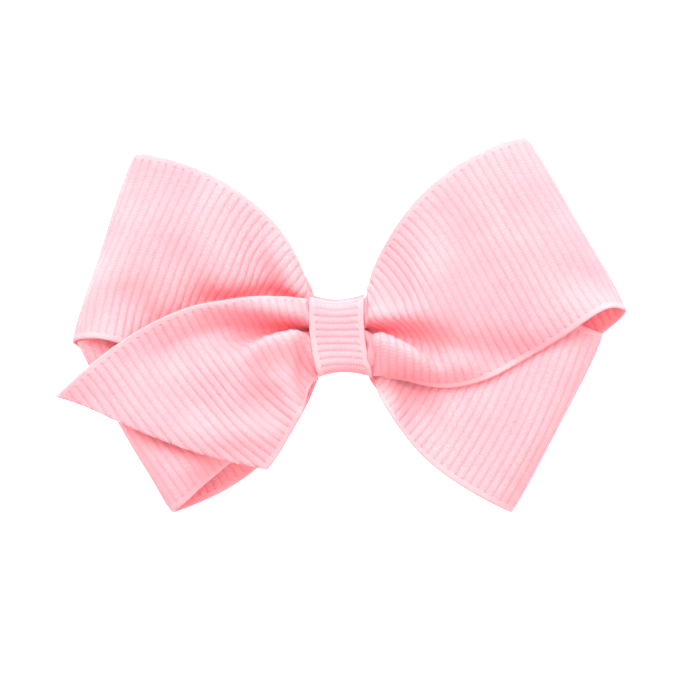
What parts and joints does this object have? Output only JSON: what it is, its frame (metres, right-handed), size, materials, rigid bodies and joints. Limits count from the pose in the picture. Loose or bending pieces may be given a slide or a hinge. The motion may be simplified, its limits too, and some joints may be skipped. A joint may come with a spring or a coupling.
{
  "type": "hair bow",
  "caption": "Looped grosgrain ribbon bow, cinched and wrapped at the knot with a narrower ribbon, on a lined alligator clip with a sprung toothed jaw.",
  "frame": {"origin": "on the flat underside of the clip's lower jaw, under the middle of the knot, with the bow lying face up", "axes": "+X to the right of the bow's face, along the clip, towards its thumb tabs; +Y up the bow's face; +Z out of the bow's face"},
  "size_m": [0.0648, 0.0424, 0.0148],
  "materials": {
    "ribbon": "cross-ribbed grosgrain weave",
    "wrap_ribbon": "fine cross-ribbed grosgrain weave",
    "lining_ribbon": "fine cross-ribbed grosgrain weave",
    "thread": "twisted polyester thread",
    "glue": "cloudy hot-melt glue",
    "clip_metal": "nickel-plated pressed steel",
    "pin_metal": "nickel-plated rivet",
    "spring_steel": "drawn spring wire",
    "grip": "matt translucent anti-slip strip"
  },
  "bodies": {
    "bow": {"bow_ribbon": "ribbon", "waist_thread": "thread", "bow_glue": "glue", "centre_wrap": "wrap_ribbon", "wrap_glue": "glue", "clip_top_arm": "clip_metal", "clip_lining": "lining_ribbon", "grip_pad": "grip", "clip_hinge_pin": "pin_metal", "clip_spring": "spring_steel"},
    "lower_jaw": {"clip_lower_jaw": "clip_metal"}
  },
  "joints": [
    {"name": "jaw_hinge", "type": "hinge", "parent": "bow", "child": "lower_jaw", "pos_m": [0.008, 0, 0.0032], "axis": [0, -1, 0], "range_deg": [0, 22], "stiffness_Nm_per_rad": 0.04, "springref_deg": -85.94, "deforming": ["clip_spring"]}
  ]
}
